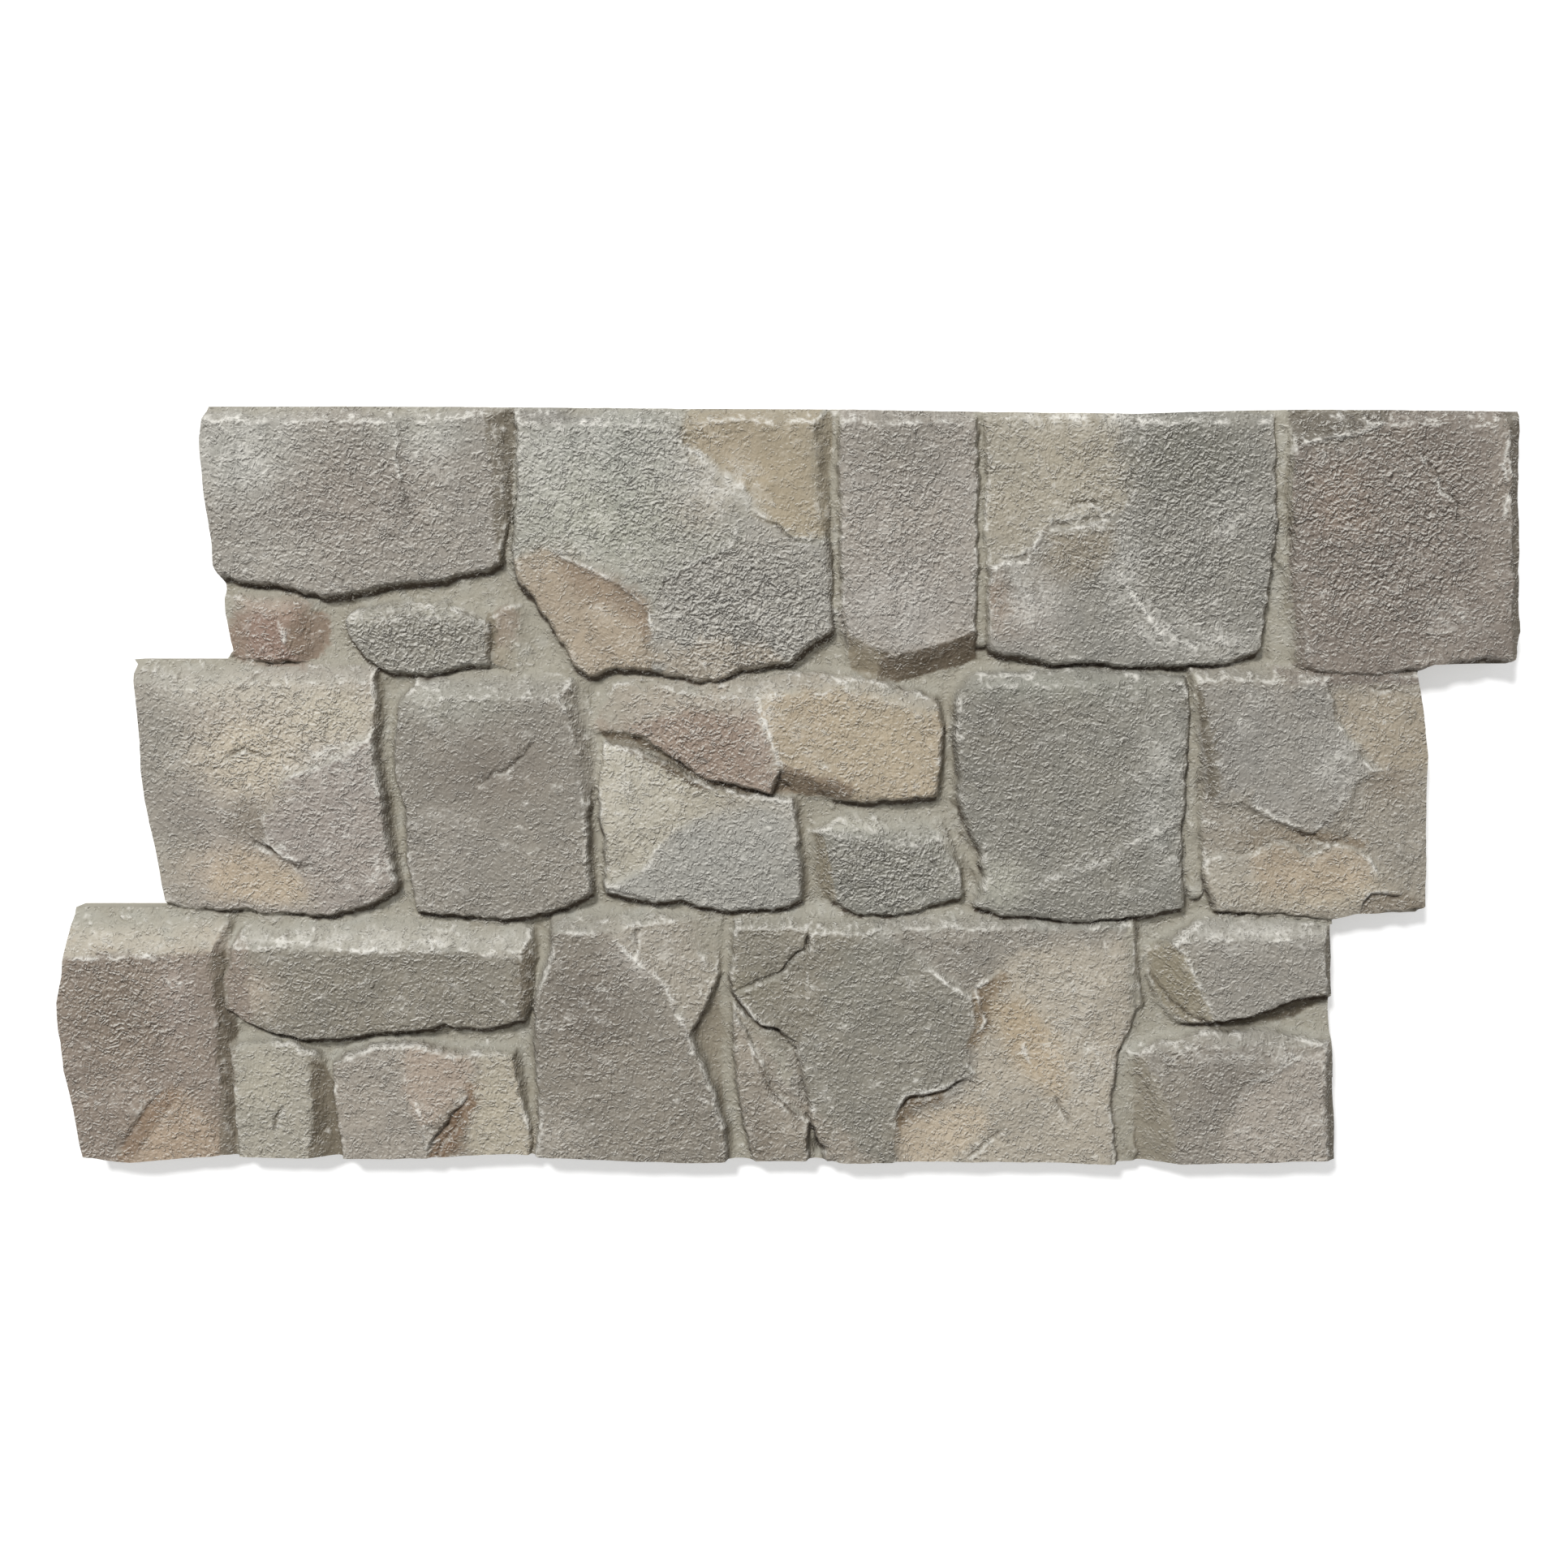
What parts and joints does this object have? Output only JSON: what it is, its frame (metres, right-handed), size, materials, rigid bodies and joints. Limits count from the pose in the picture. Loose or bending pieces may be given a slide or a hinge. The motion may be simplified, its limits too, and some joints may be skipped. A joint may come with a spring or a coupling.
{
  "type": "faux stone wall panel",
  "caption": "Moulded rigid foam wall panel with staggered courses of split stone relief, recessed joints, stepped ends and a flat back.",
  "frame": {"origin": "middle of the flat back, at the bottom centre of the bounding box", "axes": "+X along the courses, +Y towards the top course, +Z out of the stone faces; the panel lies on its back"},
  "size_m": [1.2138, 0.6318, 0.0415],
  "materials": {
    "panel": "rough sprayed stone coat"
  },
  "bodies": {
    "root": {"panel": "panel"}
  },
  "joints": []
}
